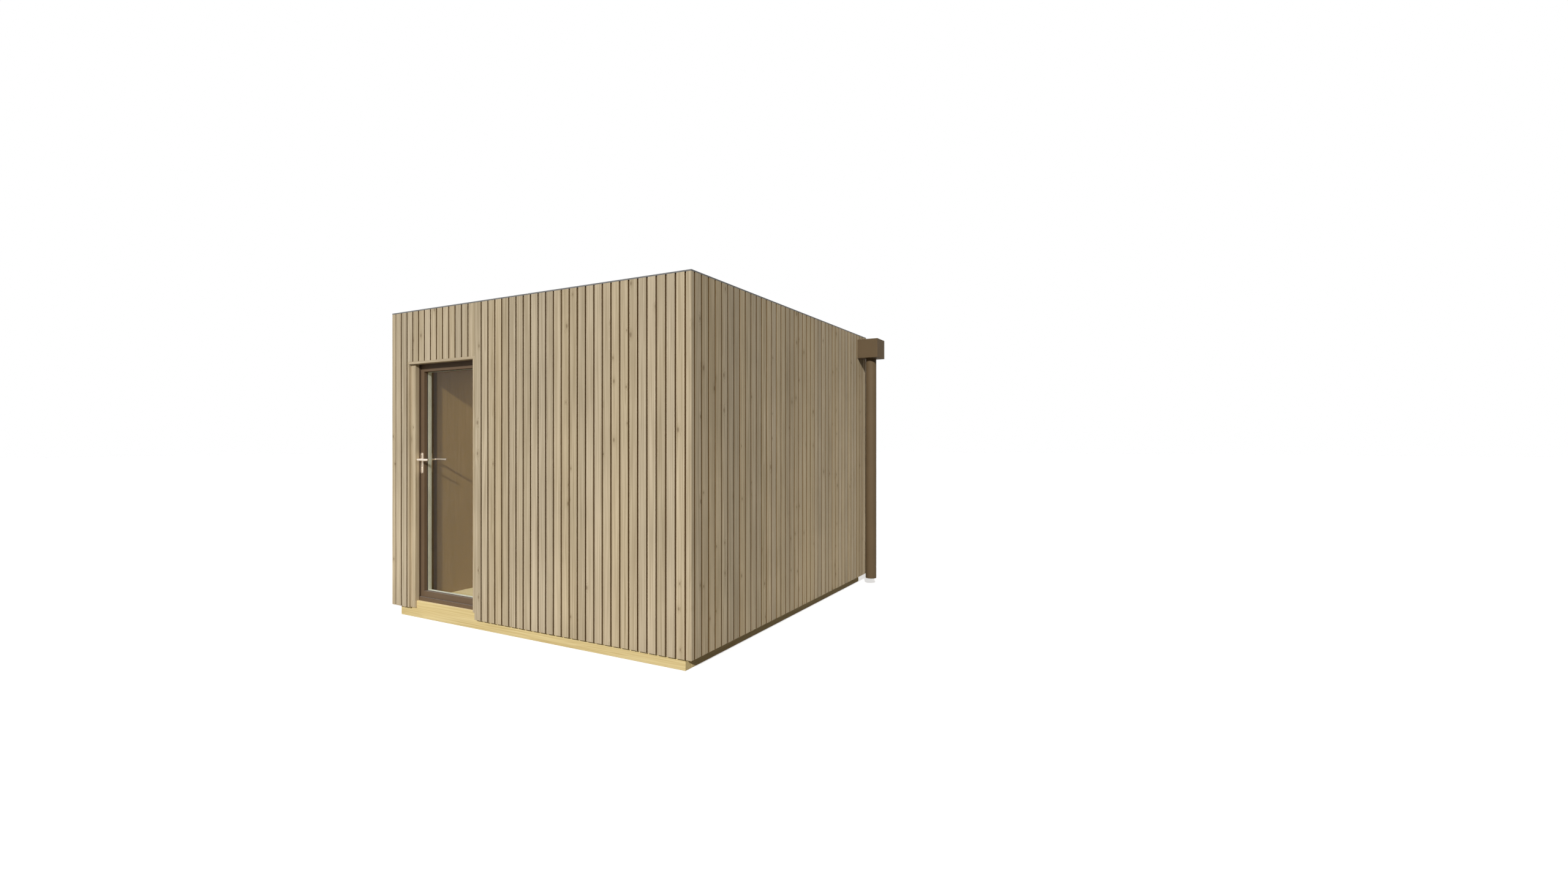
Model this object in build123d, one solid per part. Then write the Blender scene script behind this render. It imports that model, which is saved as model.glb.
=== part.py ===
from build123d import *

import os

# Garden studio: a timber-clad room on a floor frame, with one glazed door that opens inwards
# and a rainwater hopper on its right wall. Millimetres, +Z up, +X to the right as seen from the
# door side, and the door faces -Y. The origin is the centre of the floor frame's underside.

# Floor frame
base_width = 3000
base_depth = 3074
base_height = 140
rim_thickness = 70
joist_thickness = 45
joist_count = 7
deck_thickness = 22

# Wall panels and roof
wall_thickness = 195
wall_top = 2577
parapet_height = 297
roof_thickness = 160
kerb_thickness = 70
roof_fall = 30
membrane_thickness = 3
trim_height = 10
trim_sheet = 2
trim_inner_leg = 30

# Vertical board cladding on battens
front_zone = 35
side_zone = 72
clad_bottom = 85
board_width = 66
board_gap = 12
groove_depth = 10
post_front = 42
post_side = 30

# Door opening, measured between the linings and down from the wall's top
door_margin = 230
opening_width = 813
head_drop = 440
lining_thickness = 20
fillet_width = 57
fillet_setback = 21

# Door frame
frame_width = 55
lip_setback = 54
lip_thickness = 12
lip_overlap = 12
seal_gap = 5
hinge_gap = 5
lock_gap = 9
leaf_gap = 5
threshold_height = 20
threshold_overlap = 7

# Door leaf
leaf_thickness = 68
stile_width = 54
top_rail = 72
bottom_rail = 55
rebate_setback = 30
rebate_width = 10
pane_thickness = 4
spacer_depth = 16
pane_clearance = 1

# Hinges
hinge_count = 3
hinge_height = 100
hinge_end_distance = 180
barrel_radius = 8
barrel_offset = 9
pin_radius = 4
hinge_clearance = 0.1
knuckle_gap = 0.5
plate_reach = 32
plate_thickness = 3
plate_relief = 10

# Lever handle
lever_height = 1193
lever_length = 145
lever_radius = 9
lever_stand_off = 49
lever_bend = 16
spindle_radius = 4.5
spindle_clearance = 0.5
rose_width = 32
rose_above = 58
rose_below = 118
rose_thickness = 8
lever_seat = 0.3
cylinder_drop = 72
cylinder_radius = 8.5
cylinder_web = 10
cylinder_height = 33
cylinder_proud = 2
cylinder_clearance = 0.3

# Rainwater outlet, hopper and downpipe
hopper_width = 216
hopper_height = 191
hopper_drop = 43
hopper_from_rear = 36
hopper_sheet = 3
outlet_width = 104
outlet_height = 60
outlet_sheet = 3
outlet_flange = 20
outlet_reach = 30
outlet_offset = 43
pipe_diameter = 110
pipe_wall = 3
pipe_bottom = 75
spigot_length = 40
spigot_clearance = 0.3

# Outer faces of the boards
right_face = base_width / 2 + side_zone
left_face = -right_face
rear_face = base_depth / 2 + front_zone
front_face = -rear_face

# Faces of the floor frame and of the room
base_right = base_width / 2
base_left = -base_right
base_rear = base_depth / 2
base_front = -base_rear
room_right = base_right - wall_thickness
room_left = -room_right
room_rear = base_rear - wall_thickness
room_front = -room_rear

# Door opening: linings, rough opening and the clear way between fillet and right lining
opening_left = left_face + door_margin
opening_right = opening_left + opening_width
clear_left = opening_left + fillet_width
clear_right = opening_right
rough_right = opening_right + frame_width
soffit = wall_top - head_drop
rough_top = soffit + frame_width

# Door frame and leaf, with depths measured back from the front face of the boards
lip_front = front_face + lip_setback
lip_back = lip_front + lip_thickness
leaf_front = lip_back + seal_gap
leaf_back = leaf_front + leaf_thickness
leaf_left = clear_left - lip_overlap
leaf_right = clear_right + lip_overlap
leaf_top = soffit + lip_overlap
threshold_top = base_height + threshold_height
leaf_bottom = threshold_top + leaf_gap
body_left = leaf_left - lock_gap
body_right = leaf_right + hinge_gap
glass_front = leaf_front + rebate_setback
glass_back = glass_front + 2 * pane_thickness + spacer_depth
sight_left = leaf_left + stile_width
sight_right = leaf_right - stile_width
sight_top = leaf_top - top_rail
sight_bottom = leaf_bottom + bottom_rail

# Hinge and lever axes
hinge_x = (leaf_right + body_right) / 2
hinge_y = leaf_back + barrel_offset
lever_x = (clear_left + sight_left) / 2
lever_z = base_height + lever_height
cylinder_z = lever_z - cylinder_drop

# Roof tray, its levels and the rainwater line
ceiling_level = wall_top - parapet_height
tray_right = base_right - kerb_thickness
tray_left = -tray_right
tray_rear = base_rear - kerb_thickness
tray_front = -tray_rear
roof_low = ceiling_level + roof_thickness
roof_high = roof_low + roof_fall
hopper_top = wall_top - hopper_drop
hopper_bottom = hopper_top - hopper_height
hopper_y = rear_face - hopper_from_rear - hopper_width / 2
pipe_x = right_face + hopper_width / 2
outlet_y = hopper_y - outlet_offset
outlet_bottom = roof_low + 2 * membrane_thickness + outlet_sheet
outlet_top = outlet_bottom + outlet_height


def block(x0, x1, y0, y1, z0, z1):
    """A box between two opposite corners, each span given in either order."""
    size = Box(abs(x1 - x0), abs(y1 - y0), abs(z1 - z0), align=(Align.MIN, Align.MIN, Align.MIN))
    return Pos(min(x0, x1), min(y0, y1), min(z0, z1)) * size


def upright(points, z0, z1):
    """A post with a plan outline."""
    outline = make_face(Polyline(*[(x, y) for x, y in points], close=True))
    return Pos(0, 0, z0) * extrude(outline, z1 - z0)


def bar_along_x(points, x0, x1):
    """A bar along X with a profile given as (y, z)."""
    outline = make_face(Polyline(*[(x0, y, z) for y, z in points], close=True))
    return extrude(outline, x1 - x0, dir=(1, 0, 0))


def bar_along_y(points, y0, y1):
    """A bar along Y with a profile given as (x, z)."""
    outline = make_face(Polyline(*[(x, y0, z) for x, z in points], close=True))
    return extrude(outline, y1 - y0, dir=(0, 1, 0))


def rod(centre, direction, radius, length):
    """A round rod from a point along a direction."""
    return extrude(Plane(origin=centre, z_dir=direction) * Circle(radius), length)


def gaps_between(start, end):
    """Middles of the gaps between the boards of one wall, from post to post."""
    span = end - start
    boards = max(1, round((span - board_gap) / (board_width + board_gap)))
    pitch = (span - board_gap) / boards
    return [start + board_gap / 2 + pitch * i for i in range(boards + 1)]


def boards_along_x(x0, x1, face, back, z0, z1, middles):
    """Boards side by side along X: one slab with a groove in its face at each gap."""
    half = board_gap / 2
    inward = groove_depth if back > face else -groove_depth
    slab = block(x0, x1, face, back, z0, z1)
    return slab - [block(middle - half, middle + half, face, face + inward, z0, z1)
                   for middle in middles if x0 < middle < x1]


def boards_along_y(y0, y1, face, back, z0, z1, middles):
    """Boards side by side along Y: one slab with a groove in its face at each gap."""
    half = board_gap / 2
    inward = groove_depth if back > face else -groove_depth
    slab = block(face, back, y0, y1, z0, z1)
    return slab - [block(face, face + inward, middle - half, middle + half, z0, z1)
                   for middle in middles if y0 < middle < y1]


def floor_frame():
    """Four rims, the joists between them and the deck let in flush."""
    side_front = base_front + rim_thickness
    side_rear = base_rear - rim_thickness
    inner_left = base_left + rim_thickness
    inner_right = base_right - rim_thickness
    deck_bottom = base_height - deck_thickness
    pitch = (inner_right - inner_left) / (joist_count + 1)
    joists = []
    for i in range(joist_count):
        middle = inner_left + pitch * (i + 1)
        joists.append(
            block(middle - joist_thickness / 2, middle + joist_thickness / 2,
                  side_front, side_rear, 0, deck_bottom)
        )
    return {
        "base_rim_front": block(base_left, base_right, base_front, side_front, 0, base_height),
        "base_rim_rear": block(base_left, base_right, side_rear, base_rear, 0, base_height),
        "base_rim_left": block(base_left, inner_left, side_front, side_rear, 0, base_height),
        "base_rim_right": block(inner_right, base_right, side_front, side_rear, 0, base_height),
        "floor_joists": Compound(children=joists),
        "floor_deck": block(inner_left, inner_right, side_front, side_rear,
                            deck_bottom, base_height),
    }


def outlet_hole():
    """The block that the rainwater outlet takes out of wall and boards."""
    half = outlet_width / 2 + outlet_sheet
    return block(tray_right - membrane_thickness, right_face + hopper_sheet,
                 outlet_y - half, outlet_y + half,
                 outlet_bottom - outlet_sheet, outlet_top + outlet_sheet)


def lengths_around_outlet(y0, y1, z0, z1):
    """The four stretches of a wall layer beside, under and over the outlet, as (y, y, z, z)."""
    half = outlet_width / 2 + outlet_sheet
    near = outlet_y - half
    far = outlet_y + half
    return [(y0, near, z0, z1), (far, y1, z0, z1),
            (near, far, z0, outlet_bottom - outlet_sheet),
            (near, far, outlet_top + outlet_sheet, z1)]


def wall_panels():
    """Insulated panels on the floor frame; front and rear run through at the corners."""
    return {
        "front_wall_left": block(base_left, opening_left, base_front, room_front,
                                 base_height, ceiling_level),
        "front_wall_right": block(rough_right, base_right, base_front, room_front,
                                  base_height, ceiling_level),
        "front_wall_over_door": block(opening_left, rough_right, base_front, room_front,
                                      rough_top, ceiling_level),
        "rear_wall": block(base_left, base_right, room_rear, base_rear,
                           base_height, ceiling_level),
        "left_wall": block(base_left, room_left, room_front, room_rear,
                           base_height, ceiling_level),
        "right_wall": block(room_right, base_right, room_front, room_rear,
                            base_height, ceiling_level),
    }


def parapet():
    """Upstands on the outer edge of the wall panels, around the roof deck."""
    around = lengths_around_outlet(tray_front, tray_rear, ceiling_level, wall_top)
    right = [block(tray_right, base_right, *spans) for spans in around]
    return {
        "parapet_front": block(base_left, base_right, base_front, tray_front,
                               ceiling_level, wall_top),
        "parapet_rear": block(base_left, base_right, tray_rear, base_rear,
                              ceiling_level, wall_top),
        "parapet_left": block(base_left, tray_left, tray_front, tray_rear,
                              ceiling_level, wall_top),
        "parapet_right": Compound(children=right),
    }


def cladding():
    """Board layers on battens between the corner posts."""
    lining_left = opening_left - lining_thickness
    lining_right = opening_right + lining_thickness
    lining_top = soffit + lining_thickness
    post_left = left_face + post_front
    post_right = right_face - post_front
    across = gaps_between(post_left, post_right)
    along = gaps_between(front_face + post_side, rear_face - post_side)
    front_gaps = [middle for middle in across if abs(middle - lining_right) > board_gap / 3]
    right = [boards_along_y(y0, y1, right_face, base_right, z0, z1, along)
             for y0, y1, z0, z1 in lengths_around_outlet(base_front, base_rear,
                                                         clad_bottom, wall_top)]
    nodes = {
        "cladding_front_left": boards_along_x(post_left, lining_left, front_face, base_front,
                                              clad_bottom, wall_top, front_gaps),
        "cladding_front_right": boards_along_x(lining_right, post_right, front_face, base_front,
                                               clad_bottom, wall_top, front_gaps),
        "cladding_front_over_door": boards_along_x(lining_left, lining_right, front_face,
                                                   base_front, lining_top, wall_top, front_gaps),
        "cladding_rear": boards_along_x(post_left, post_right, rear_face, base_rear,
                                        clad_bottom, wall_top, across),
        "cladding_left": boards_along_y(base_front, base_rear, left_face, base_left,
                                        clad_bottom, wall_top, along),
        "cladding_right": Compound(children=right),
    }
    posts = []
    for x0, x1 in [(left_face, post_left), (post_right, right_face)]:
        for y0, y1 in [(front_face, front_face + post_side), (rear_face - post_side, rear_face)]:
            posts.append(block(x0, x1, y0, y1, clad_bottom, wall_top))
    nodes["corner_posts"] = Compound(children=posts)
    return nodes


def door_linings():
    """Boards that line the opening, and the timber fillet beside the leaf."""
    outer_left = opening_left - lining_thickness
    outer_right = opening_right + lining_thickness
    top = block(outer_left, outer_right, front_face, lip_front, soffit, soffit + lining_thickness)
    top -= block(outer_left, opening_left, base_front, lip_front,
                 soffit, soffit + lining_thickness)
    fillet = block(opening_left, clear_left, front_face + fillet_setback, lip_front,
                   base_height, soffit)
    fillet += block(opening_left, clear_left, front_face + fillet_setback, base_front,
                    clad_bottom, base_height)
    return {
        "lining_top": top,
        "lining_left": block(outer_left, opening_left, front_face, base_front,
                             clad_bottom, soffit),
        "lining_right": block(opening_right, outer_right, front_face, lip_front,
                              base_height, soffit),
        "fillet_left": fillet,
    }


def door_frame():
    """Jambs, head and threshold with the lip that the leaf closes behind."""
    nose_right = opening_right + lining_thickness
    nose_top = soffit + lining_thickness
    jamb_hinge = upright(
        [(nose_right, base_front), (rough_right, base_front), (rough_right, leaf_back),
         (body_right, leaf_back), (body_right, lip_back), (clear_right, lip_back),
         (clear_right, lip_front), (nose_right, lip_front)],
        base_height, rough_top)
    jamb_lock = upright(
        [(opening_left, lip_front), (clear_left, lip_front), (clear_left, lip_back),
         (body_left, lip_back), (body_left, leaf_back), (opening_left, leaf_back)],
        base_height, rough_top)
    head_body = leaf_top + leaf_gap
    head = bar_along_x(
        [(base_front, nose_top), (lip_front, nose_top), (lip_front, soffit), (lip_back, soffit),
         (lip_back, head_body), (leaf_back, head_body), (leaf_back, rough_top),
         (base_front, rough_top)],
        opening_left, rough_right)
    lip_top = leaf_bottom + threshold_overlap
    threshold = bar_along_x(
        [(lip_front, base_height), (leaf_back, base_height), (leaf_back, threshold_top),
         (lip_back, threshold_top), (lip_back, lip_top), (lip_front, lip_top)],
        opening_left, rough_right)
    return {
        "frame_jamb_hinge": jamb_hinge,
        "frame_jamb_lock": jamb_lock,
        "frame_head": head - jamb_hinge - jamb_lock,
        "frame_threshold": threshold - jamb_hinge - jamb_lock,
    }


def door_leaf():
    """Rebated stiles and rails around a sealed glass unit held by beads."""
    rebate_left = sight_left - rebate_width
    rebate_right = sight_right + rebate_width
    rebate_top = sight_top + rebate_width
    rebate_bottom = sight_bottom - rebate_width
    stile_lock = upright(
        [(leaf_left, leaf_front), (sight_left, leaf_front), (sight_left, glass_front),
         (rebate_left, glass_front), (rebate_left, leaf_back), (leaf_left, leaf_back)],
        leaf_bottom, leaf_top)
    stile_hinge = upright(
        [(leaf_right, leaf_front), (leaf_right, leaf_back), (rebate_right, leaf_back),
         (rebate_right, glass_front), (sight_right, glass_front), (sight_right, leaf_front)],
        leaf_bottom, leaf_top)
    rail_top = bar_along_x(
        [(leaf_front, sight_top), (glass_front, sight_top), (glass_front, rebate_top),
         (leaf_back, rebate_top), (leaf_back, leaf_top), (leaf_front, leaf_top)],
        leaf_left, leaf_right)
    rail_bottom = bar_along_x(
        [(leaf_front, leaf_bottom), (leaf_back, leaf_bottom), (leaf_back, rebate_bottom),
         (glass_front, rebate_bottom), (glass_front, sight_bottom), (leaf_front, sight_bottom)],
        leaf_left, leaf_right)
    bores = handle_bores(leaf_front - 1, leaf_back + 1)
    pane_left = rebate_left + pane_clearance
    pane_right = rebate_right - pane_clearance
    pane_bottom = rebate_bottom + pane_clearance
    pane_top = rebate_top - pane_clearance
    spacer_front = glass_front + pane_thickness
    spacer_back = glass_back - pane_thickness
    outer_pane = block(pane_left, pane_right, glass_front, spacer_front, pane_bottom, pane_top)
    inner_pane = block(pane_left, pane_right, spacer_back, glass_back, pane_bottom, pane_top)
    spacer = block(pane_left, pane_right, spacer_front, spacer_back, pane_bottom, pane_top)
    spacer -= block(sight_left, sight_right, spacer_front, spacer_back, sight_bottom, sight_top)
    beads = block(rebate_left, rebate_right, glass_back, leaf_back, rebate_bottom, rebate_top)
    beads -= block(sight_left, sight_right, glass_back, leaf_back, sight_bottom, sight_top)
    return {
        "leaf_stile_lock": stile_lock - bores,
        "leaf_stile_hinge": stile_hinge,
        "leaf_rail_top": rail_top - stile_lock - stile_hinge,
        "leaf_rail_bottom": rail_bottom - stile_lock - stile_hinge,
        "glass_panes": Compound(children=[outer_pane, inner_pane]),
        "glass_spacer": spacer,
        "glazing_beads": beads,
    }


def hinge_half(side, z0, knuckles):
    """One half of a butt hinge: a plate on the inner face with tongues to its knuckles."""
    near = hinge_x + side * plate_relief
    far = hinge_x + side * plate_reach
    plate = block(min(near, far), max(near, far), leaf_back, leaf_back + plate_thickness,
                  z0, z0 + hinge_height)
    for low, high in knuckles:
        barrel = rod((hinge_x, hinge_y, low), (0, 0, 1), barrel_radius, high - low)
        tongue = block(min(near, hinge_x), max(near, hinge_x), leaf_back,
                       leaf_back + plate_thickness, low, high)
        plate += barrel + tongue
    return plate


def door_hinges():
    """Three butt hinges: the frame halves carry the pins and the leaf halves turn on them."""
    lowest = leaf_bottom + hinge_end_distance
    highest = leaf_top - hinge_end_distance - hinge_height
    pitch = (highest - lowest) / (hinge_count - 1)
    third = hinge_height / 3
    frame_halves = []
    leaf_halves = []
    for i in range(hinge_count):
        z0 = lowest + pitch * i
        z1 = z0 + hinge_height
        outer = [(z0, z0 + third - knuckle_gap), (z1 - third + knuckle_gap, z1)]
        pin = rod((hinge_x, hinge_y, z0), (0, 0, 1), pin_radius, hinge_height)
        frame_halves.append(hinge_half(1, z0, outer) + pin)
        bore = rod((hinge_x, hinge_y, z0), (0, 0, 1), pin_radius + hinge_clearance, hinge_height)
        leaf_halves.append(hinge_half(-1, z0, [(z0 + third, z1 - third)]) - bore)
    return {
        "hinge_frame_halves": Compound(children=frame_halves),
        "hinge_leaf_halves": Compound(children=leaf_halves),
    }


def cylinder(y0, y1, grow=0):
    """A profile cylinder along Y: a round barrel over a narrower web with a round foot."""
    foot_radius = cylinder_web / 2
    foot_z = cylinder_z + cylinder_radius - cylinder_height + foot_radius
    barrel = rod((lever_x, y0, cylinder_z), (0, 1, 0), cylinder_radius + grow, y1 - y0)
    foot = rod((lever_x, y0, foot_z), (0, 1, 0), foot_radius + grow, y1 - y0)
    web = block(lever_x - foot_radius - grow, lever_x + foot_radius + grow, y0, y1,
                foot_z, cylinder_z)
    return barrel + foot + web


def handle_bores(y0, y1):
    """What the spindle and the cylinder take out of the leaf and its plates."""
    spindle_bore = rod((lever_x, y0, lever_z), (0, 1, 0), spindle_radius + spindle_clearance,
                       y1 - y0)
    return [spindle_bore, cylinder(y0, y1, cylinder_clearance)]


def handle_plate(y0):
    """A long plate with round ends, its front face at y0."""
    low = lever_z - rose_below
    high = lever_z + rose_above
    outline = Plane.XZ * SlotOverall(high - low, rose_width, rotation=90)
    body = Pos(lever_x, y0, (low + high) / 2) * extrude(outline, rose_thickness, dir=(0, 1, 0))
    return body - handle_bores(y0 - 1, y0 + rose_thickness + 1)


def lever_arm(seat_y, away):
    """A round bar that leaves the plate square, bends and runs towards the hinges."""
    tip_y = seat_y + away * (lever_stand_off - rose_thickness - lever_seat)
    path = FilletPolyline((lever_x, seat_y, lever_z), (lever_x, tip_y, lever_z),
                          (lever_x + lever_length, tip_y, lever_z), radius=lever_bend)
    section = Plane(origin=path @ 0, z_dir=path % 0) * Circle(lever_radius)
    return sweep(section, path=path)


def handle():
    """Plates on both faces of the lock stile and one lever pair on its spindle."""
    outer_seat = leaf_front - rose_thickness - lever_seat
    inner_seat = leaf_back + rose_thickness + lever_seat
    spindle = rod((lever_x, outer_seat, lever_z), (0, 1, 0), spindle_radius,
                  inner_seat - outer_seat)
    plates = [handle_plate(leaf_front - rose_thickness), handle_plate(leaf_back)]
    cylinder_reach = rose_thickness + cylinder_proud
    return {
        "handle_plates": Compound(children=plates),
        "lock_cylinder": cylinder(leaf_front - cylinder_reach, leaf_back + cylinder_reach),
        "lever_set": lever_arm(outer_seat, -1) + lever_arm(inner_seat, 1) + spindle,
    }


def roof():
    """Insulated deck with a fall to the right, its membrane and the folded edge trims."""
    deck = bar_along_y(
        [(tray_left, ceiling_level), (tray_right, ceiling_level), (tray_right, roof_low),
         (tray_left, roof_high)],
        tray_front, tray_rear)
    top = wall_top + membrane_thickness
    skin = bar_along_y(
        [(tray_left, roof_high), (tray_right, roof_low), (tray_right, top), (tray_left, top)],
        tray_front, tray_rear)
    skin += block(base_left, base_right, base_front, base_rear, wall_top, top)
    lap = membrane_thickness
    slope = roof_fall / (tray_right - tray_left)
    skin -= bar_along_y(
        [(tray_left + lap, roof_high + lap * (1 - slope)),
         (tray_right - lap, roof_low + lap * (1 + slope)),
         (tray_right - lap, top + lap), (tray_left + lap, top + lap)],
        tray_front + lap, tray_rear - lap)
    nodes = {"roof_deck": deck, "roof_membrane": skin - outlet_hole()}
    nodes.update(roof_trims())
    return nodes


def trim_profile(outer, inner):
    """Folded sheet over a wall's top, as (distance, z) from the outer to the inner face."""
    high = wall_top + trim_height
    under = high - trim_sheet
    step = trim_sheet if inner > outer else -trim_sheet
    leg = wall_top - trim_inner_leg
    return [(outer, wall_top), (outer, high), (inner + step, high), (inner + step, leg),
            (inner, leg), (inner, under), (outer + step, under), (outer + step, wall_top)]


def roof_trims():
    """Four trims, mitred at the corners."""
    lap = membrane_thickness
    right = bar_along_y(trim_profile(right_face, tray_right - lap), front_face, rear_face)
    left = bar_along_y(trim_profile(left_face, tray_left + lap), front_face, rear_face)
    front = bar_along_x(trim_profile(front_face, tray_front + lap), left_face, right_face)
    rear = bar_along_x(trim_profile(rear_face, tray_rear - lap), left_face, right_face)
    reach_x = 2 * (right_face - tray_right + lap)
    reach_y = 2 * (rear_face - tray_rear + lap)
    front_side = upright(
        [(left_face, front_face), (right_face, front_face),
         (right_face - reach_x, front_face + reach_y), (left_face + reach_x, front_face + reach_y)],
        wall_top - trim_inner_leg, wall_top + trim_height)
    rear_side = mirror(front_side, Plane.XZ)
    return {
        "roof_trim_front": front & front_side,
        "roof_trim_rear": rear & rear_side,
        "roof_trim_left": left - front_side - rear_side,
        "roof_trim_right": right - front_side - rear_side,
    }


def rainwater():
    """Outlet sleeve through the wall, open hopper and round downpipe."""
    half = outlet_width / 2
    tray_face = tray_right - membrane_thickness
    inner_end = tray_face - outlet_sheet
    sleeve = block(tray_face, right_face + outlet_reach,
                   outlet_y - half - outlet_sheet, outlet_y + half + outlet_sheet,
                   outlet_bottom - outlet_sheet, outlet_top + outlet_sheet)
    sleeve += block(inner_end, tray_face, outlet_y - half - outlet_flange,
                    outlet_y + half + outlet_flange,
                    outlet_bottom - outlet_sheet, outlet_top + outlet_flange)
    sleeve -= block(inner_end - 1, right_face + outlet_reach + 1,
                    outlet_y - half, outlet_y + half, outlet_bottom, outlet_top)

    box = block(right_face, right_face + hopper_width, hopper_y - hopper_width / 2,
                hopper_y + hopper_width / 2, hopper_bottom, hopper_top)
    box -= block(right_face + hopper_sheet, right_face + hopper_width - hopper_sheet,
                 hopper_y - hopper_width / 2 + hopper_sheet,
                 hopper_y + hopper_width / 2 - hopper_sheet,
                 hopper_bottom + hopper_sheet, hopper_top + 1)
    bore_radius = pipe_diameter / 2 - pipe_wall
    spigot_radius = bore_radius - spigot_clearance
    spigot_foot = (pipe_x, hopper_y, hopper_bottom - spigot_length)
    box += rod(spigot_foot, (0, 0, 1), spigot_radius, spigot_length)
    box -= rod(spigot_foot, (0, 0, 1), spigot_radius - hopper_sheet,
               spigot_length + hopper_sheet + 1)

    pipe_foot = (pipe_x, hopper_y, pipe_bottom)
    pipe = rod(pipe_foot, (0, 0, 1), pipe_diameter / 2, hopper_bottom - pipe_bottom)
    pipe -= rod(pipe_foot, (0, 0, 1), bore_radius, hopper_bottom - pipe_bottom)
    return {
        "roof_outlet": sleeve,
        "hopper": box - outlet_hole(),
        "downpipe": pipe,
    }


def studio():
    """Every piece of the building by its node's name."""
    nodes = {}
    for group in (floor_frame, wall_panels, parapet, cladding, door_linings, door_frame,
                  door_leaf, door_hinges, handle, roof, rainwater):
        nodes.update(group())
    return nodes


os.makedirs("parts", exist_ok=True)
for node_name, shape in studio().items():
    export_step(shape, f"parts/{node_name}.step")
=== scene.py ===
# %% [markdown]
# # A timber-clad garden studio
#
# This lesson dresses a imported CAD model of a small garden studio: a flat-roofed room on a floor
# frame, clad with narrow upright boards, with one glazed door and a rainwater hopper. The CAD
# solids give every place and size in metres, so each piece made here starts from a solid's box.
# Thin things that CAD leaves out, such as single boards, gaskets and screws, are modelled here.

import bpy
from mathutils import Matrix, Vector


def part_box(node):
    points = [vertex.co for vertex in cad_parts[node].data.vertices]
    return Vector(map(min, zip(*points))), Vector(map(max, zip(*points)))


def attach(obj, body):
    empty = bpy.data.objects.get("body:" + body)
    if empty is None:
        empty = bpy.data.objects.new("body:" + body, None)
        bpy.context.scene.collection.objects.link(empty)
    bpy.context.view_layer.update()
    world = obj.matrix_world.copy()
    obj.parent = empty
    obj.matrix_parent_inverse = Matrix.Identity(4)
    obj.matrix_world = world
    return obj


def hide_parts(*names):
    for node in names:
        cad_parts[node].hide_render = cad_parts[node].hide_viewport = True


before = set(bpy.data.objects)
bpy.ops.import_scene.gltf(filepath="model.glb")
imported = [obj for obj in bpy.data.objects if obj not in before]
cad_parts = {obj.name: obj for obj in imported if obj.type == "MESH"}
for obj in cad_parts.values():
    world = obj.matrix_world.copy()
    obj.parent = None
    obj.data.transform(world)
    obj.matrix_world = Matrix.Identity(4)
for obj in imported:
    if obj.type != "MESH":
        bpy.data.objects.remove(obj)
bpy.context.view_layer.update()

# %% [markdown]
# ## Tools for every piece
#
# Operators act on whatever is selected, so each piece starts from an empty selection. A timber
# could be typed in as a list of corners, but adding a cube and shaping it is how a modeller works
# by hand, and the same few steps then serve for boards, posts and seals.

# %% Selecting and adding
import math
import random
from contextlib import contextmanager

import bmesh
import bpy
import numpy as np
from mathutils import Matrix, Vector

MM = 0.001


def nothing_selected():
    """Clear the selection."""
    bpy.ops.object.select_all(action="DESELECT")


def only(piece):
    """Make one piece the whole selection."""
    nothing_selected()
    piece.select_set(True)
    bpy.context.view_layer.objects.active = piece


def block(name, low, high):
    """Add a cube and stretch it between two corners, with its place in its mesh."""
    nothing_selected()
    low, high = Vector(low), Vector(high)
    bpy.ops.mesh.primitive_cube_add(size=1, location=(low + high) / 2)
    piece = bpy.context.object
    piece.name = name
    piece.scale = [abs(value) for value in high - low]
    bpy.ops.object.transform_apply(location=True, rotation=False, scale=True)
    return piece


def block_about(name, centre, size):
    """Add a block of a size about its centre."""
    half = size / 2
    return block(name, Vector(centre) - half, Vector(centre) + half)


def rod(name, centre, axis, radius, length, sides):
    """Add a cylinder with its middle at a point, along the Y or Z axis."""
    nothing_selected()
    bpy.ops.mesh.primitive_cylinder_add(vertices=sides, radius=radius, depth=length)
    piece = bpy.context.object
    piece.name = name
    turn = Matrix.Rotation(-math.pi / 2, 4, "X") if axis == "Y" else Matrix.Identity(4)
    piece.data.transform(Matrix.Translation(centre) @ turn)
    return piece


# %% [markdown]
# ## Editing faces and edges
#
# By hand, a face or an edge is clicked before it is inset or beveled. In code it is found by where
# it lies and which way it faces or runs. A `with` block opens edit mode with those selected and
# leaves it at its end.

# %% Editing
@contextmanager
def editing(piece, kind, test):
    """Edit a piece with the faces or edges selected whose middle and direction pass a test."""
    only(piece)
    bpy.ops.object.mode_set(mode="EDIT")
    bpy.ops.mesh.select_mode(type=kind)
    bpy.ops.mesh.select_all(action="DESELECT")
    shape = bmesh.from_edit_mesh(piece.data)
    for part in shape.faces if kind == "FACE" else shape.edges:
        middle = sum((corner.co for corner in part.verts), Vector()) / len(part.verts)
        facing = part.normal if kind == "FACE" else part.verts[1].co - part.verts[0].co
        if test(middle, facing.normalized()):
            part.select_set(True)
    bmesh.update_edit_mesh(piece.data)
    yield
    bpy.ops.object.mode_set(mode="OBJECT")


# %% [markdown]
# ## Rounded edges, copies and joins
#
# No real edge is perfectly sharp: a planed board has an arris of a millimetre or two that catches
# light. A Bevel modifier limited by angle rounds every corner of a piece at once, which is
# quicker than picking edges, and it leaves flat faces alone.

# %% Rounding, copying and joining
SHARP = math.radians(35)


def add_arris(piece, radius, segments=2):
    """Add a modifier that rounds a piece's sharp edges."""
    bevel = piece.modifiers.new("Arris", "BEVEL")
    bevel.width = radius
    bevel.segments = segments
    bevel.limit_method = "ANGLE"
    bevel.angle_limit = SHARP


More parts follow.
